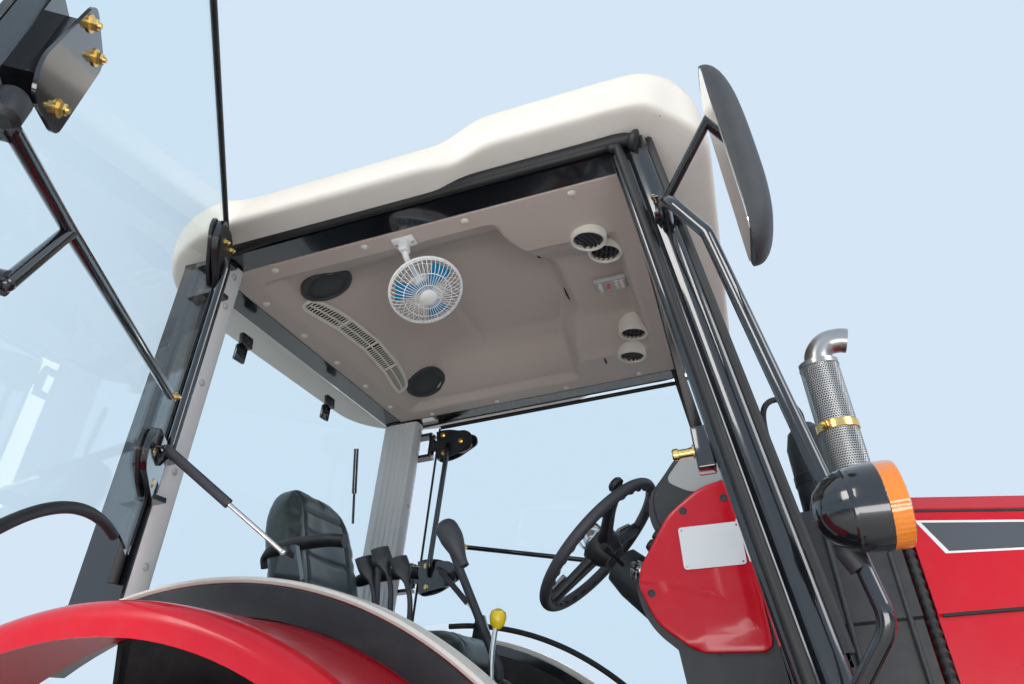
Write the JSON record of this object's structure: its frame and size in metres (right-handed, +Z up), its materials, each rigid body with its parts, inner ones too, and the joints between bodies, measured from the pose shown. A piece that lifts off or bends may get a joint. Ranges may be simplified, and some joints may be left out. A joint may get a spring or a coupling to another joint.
{
  "type": "farm tractor",
  "caption": "Compact farm tractor with a glass cab, right door open, hinged bonnet, steering front wheels, rear three-point linkage and drawbar.",
  "frame": {"origin": "on the ground at the foot of the machine's box, with the right door open; the rear axle is 0.949 m behind it and the middle plane 0.458 m to its left", "axes": "+X forward, +Y to the driver's left, +Z up"},
  "size_m": [3.7139, 2.8968, 2.7198],
  "materials": {
    "tyre_rubber": "matt tread rubber",
    "wheel_paint": "cream gloss paint",
    "chassis_paint": "black chassis paint",
    "engine_paint": "dark painted castings",
    "red_paint": "bright red gloss paint",
    "black_trim": "glossy black",
    "black_steel": "gloss black powder coat",
    "roof_cream": "cream moulded roof",
    "headliner_taupe": "taupe moulded lining",
    "clear_glass": "clear safety glass",
    "seat_vinyl": "dark grey green vinyl",
    "floor_mat": "ribbed rubber mat",
    "dark_plastic": "dark grey textured plastic",
    "bright_steel": "chromed rod",
    "exhaust_steel": "heat tinted steel",
    "soft_grip": "soft black rim",
    "white_wire": "white coated wire",
    "blue_blade": "blue plastic",
    "lamp_red": "red lens"
  },
  "bodies": {
    "root": {"front_axle": "chassis_paint", "engine": "engine_paint", "transmission": "engine_paint", "rear_axle": "engine_paint", "front_frame": "chassis_paint", "cab_frame": "black_steel", "cab_floor": "floor_mat", "roof": "roof_cream", "headliner": "headliner_taupe", "door_hinges": "black_steel", "windscreen": "clear_glass", "rear_window": "clear_glass", "fender_left": "red_paint", "fender_right": "red_paint", "cowl": "black_trim", "exhaust": "exhaust_steel", "air_intake": "dark_plastic", "dash": "dark_plastic", "seat_cushion": "seat_vinyl", "seat_back": "seat_vinyl", "seat_base": "dark_plastic", "levers": "dark_plastic", "mirrors": "dark_plastic", "grab_rails": "black_steel", "steps": "chassis_paint", "fuel_tank": "black_trim", "fan": "white_wire", "drawbar": "chassis_paint", "top_link": "chassis_paint", "rear_lamps": "lamp_red"},
    "rear_wheel_left": {"rear_tyre_left": "tyre_rubber", "rear_rim_left": "wheel_paint"},
    "rear_wheel_right": {"rear_tyre_right": "tyre_rubber", "rear_rim_right": "wheel_paint"},
    "front_wheel_left": {"front_tyre_left": "tyre_rubber", "front_rim_left": "wheel_paint"},
    "front_wheel_right": {"front_tyre_right": "tyre_rubber", "front_rim_right": "wheel_paint"},
    "steering_knuckle_left": {"knuckle_left": "chassis_paint"},
    "steering_knuckle_right": {"knuckle_right": "chassis_paint"},
    "bonnet_lid": {"bonnet": "red_paint", "grille": "black_trim"},
    "cab_door_left": {"door_left": "clear_glass", "door_fittings_left": "black_steel"},
    "cab_door_right": {"door_right": "clear_glass", "door_fittings_right": "black_steel"},
    "door_strut_tube_left": {"strut_tube_left": "soft_grip"},
    "door_strut_tube_right": {"strut_tube_right": "soft_grip"},
    "door_strut_rod_left": {"strut_rod_left": "bright_steel"},
    "door_strut_rod_right": {"strut_rod_right": "bright_steel"},
    "hand_wheel": {"steering_wheel": "soft_grip"},
    "link_arms": {"lower_links": "chassis_paint"},
    "rock_shaft": {"lift_arms": "chassis_paint"},
    "lift_rod_pair": {"lift_rods": "chassis_paint"},
    "fan_blades": {"fan_rotor": "blue_blade"}
  },
  "joints": [
    {"name": "rear_spin_left", "type": "hinge", "parent": "root", "child": "rear_wheel_left", "pos_m": [-0.949, 1.218, 0.7], "axis": [0, 1, 0], "continuous": true},
    {"name": "rear_spin_right", "type": "hinge", "parent": "root", "child": "rear_wheel_right", "pos_m": [-0.949, -0.302, 0.7], "axis": [0, 1, 0], "continuous": true},
    {"name": "steer_left", "type": "hinge", "parent": "root", "child": "steering_knuckle_left", "pos_m": [1.151, 1.003, 0.525], "axis": [0, 0, 1], "range_deg": [-38, 38]},
    {"name": "front_spin_left", "type": "hinge", "parent": "steering_knuckle_left", "child": "front_wheel_left", "pos_m": [1.151, 1.168, 0.525], "axis": [0, 1, 0], "continuous": true},
    {"name": "steer_right", "type": "hinge", "parent": "root", "child": "steering_knuckle_right", "pos_m": [1.151, -0.087, 0.525], "axis": [0, 0, 1], "range_deg": [-38, 38]},
    {"name": "front_spin_right", "type": "hinge", "parent": "steering_knuckle_right", "child": "front_wheel_right", "pos_m": [1.151, -0.252, 0.525], "axis": [0, 1, 0], "continuous": true},
    {"name": "hand_wheel_turn", "type": "hinge", "parent": "root", "child": "hand_wheel", "pos_m": [-0.187, 0.458, 1.748], "axis": [-0.6561, 0, 0.7547], "range_deg": [-456, 456]},
    {"name": "bonnet_lift", "type": "hinge", "parent": "root", "child": "bonnet_lid", "pos_m": [0.531, 0.458, 1.682], "axis": [0, -1, 0], "range_deg": [0, 55]},
    {"name": "door_swing_left", "type": "hinge", "parent": "root", "child": "cab_door_left", "pos_m": [-0.959, 1.158, 2.5], "axis": [0.1677, 0, 0.9858], "range_deg": [0, 57]},
    {"name": "strut_swing_left", "type": "hinge", "parent": "cab_door_left", "child": "door_strut_tube_left", "pos_m": [-0.94108, 1.132, 1.9], "axis": [-0.3365, 0.0326, -0.9411], "range_deg": [0, 72.97]},
    {"name": "strut_slide_left", "type": "slide", "parent": "door_strut_tube_left", "child": "door_strut_rod_left", "axis": [0.6393, -0.1382, -0.7564], "range_m": [0, 0.04727]},
    {"name": "door_swing_right", "type": "hinge", "parent": "root", "child": "cab_door_right", "pos_m": [-0.959, -0.242, 2.5], "axis": [0.1677, 0, 0.9858], "range_deg": [0, 57]},
    {"name": "strut_swing_right", "type": "hinge", "parent": "cab_door_right", "child": "door_strut_tube_right", "pos_m": [-0.97269, -0.32705, 1.90538], "axis": [-0.2854, 0.1281, -0.9498], "range_deg": [0, 72.25]},
    {"name": "strut_slide_right", "type": "slide", "parent": "door_strut_tube_right", "child": "door_strut_rod_right", "axis": [0.6252, 0.4358, -0.6474], "range_m": [-0.07032, 0]},
    {"name": "hitch_lift", "type": "hinge", "parent": "root", "child": "link_arms", "pos_m": [-1.149, 0.458, 0.52], "axis": [0, 1, 0], "range_deg": [-10, 22]},
    {"name": "rock_shaft_turn", "type": "hinge", "parent": "root", "child": "rock_shaft", "pos_m": [-1.139, 0.458, 0.88], "axis": [0, 1, 0], "range_deg": [-16, 34]},
    {"name": "lift_rod_swing", "type": "hinge", "parent": "rock_shaft", "child": "lift_rod_pair", "pos_m": [-1.379, 0.458, 0.88], "axis": [0, 1, 0], "range_deg": [-34, 16]},
    {"name": "fan_spin", "type": "hinge", "parent": "root", "child": "fan_blades", "pos_m": [-0.499, 0.008, 2.39], "axis": [0.3497, -0.3497, -0.8692], "continuous": true}
  ],
  "couplings": [
    {"joint": "steer_right", "follows": "steer_left", "ratio": 1},
    {"joint": "hand_wheel_turn", "follows": "steer_left", "ratio": 12},
    {"joint": "strut_swing_left", "follows": "door_swing_left", "ratio": 1.2714},
    {"joint": "strut_slide_left", "follows": "door_swing_left", "m_per_rad": 0.04704},
    {"joint": "strut_swing_right", "follows": "door_swing_right", "ratio": 1.2588},
    {"joint": "strut_slide_right", "follows": "door_swing_right", "m_per_rad": -0.069987},
    {"joint": "rock_shaft_turn", "follows": "hitch_lift", "ratio": 1.5},
    {"joint": "lift_rod_swing", "follows": "hitch_lift", "ratio": -1.5}
  ]
}
